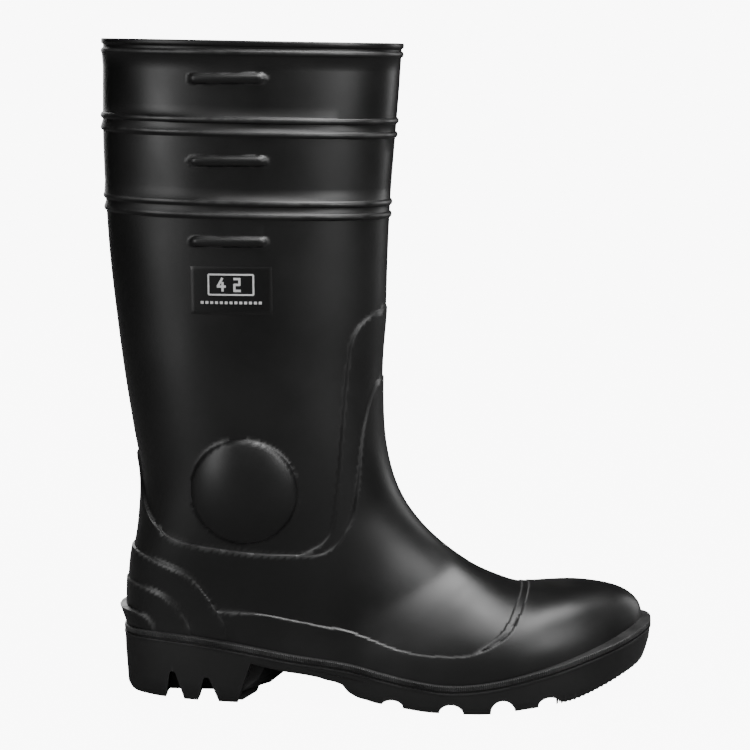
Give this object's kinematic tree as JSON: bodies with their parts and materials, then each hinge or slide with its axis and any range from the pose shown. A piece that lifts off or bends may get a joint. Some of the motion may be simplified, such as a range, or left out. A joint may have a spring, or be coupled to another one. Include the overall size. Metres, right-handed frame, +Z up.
{
  "type": "steel toe safety wellington boot",
  "caption": "Right knee-height moulded safety boot with a knitted lining, protective steel toe cap and midsole, cleated sole and lift-out footbed.",
  "frame": {"origin": "on the ground, under the middle of the boot's box", "axes": "+X towards the toe, +Y towards the inner side of the foot, +Z up the leg"},
  "size_m": [0.3126, 0.1068, 0.3744],
  "materials": {
    "leg_black": "satin moulded PVC, fine grain",
    "sole_black": "matt moulded PVC",
    "knit_grey": "knitted polyester",
    "steel": "plain pressed steel",
    "strip_white": "soft moulded strip",
    "board_tan": "pressed fibre board",
    "core_grey": "foamed plastic",
    "foam_grey": "open foam",
    "fabric_dark": "woven cover",
    "label_black": "smooth satin film"
  },
  "bodies": {
    "boot": {"upper_shell": "leg_black", "outsole": "sole_black", "lining_sock": "knit_grey", "steel_toe_cap": "steel", "toe_cap_edge_strip": "strip_white", "steel_midsole": "steel", "insole_board": "board_tan", "heel_core": "core_grey", "label_patch": "label_black"},
    "footbed": {"footbed_foam": "foam_grey", "footbed_cover": "fabric_dark"}
  },
  "joints": [
    {"name": "footbed_lift", "type": "hinge", "parent": "boot", "child": "footbed", "pos_m": [0.1425, 0, 0.0318], "axis": [0, 1, 0], "range_deg": [0, 3.5]}
  ]
}
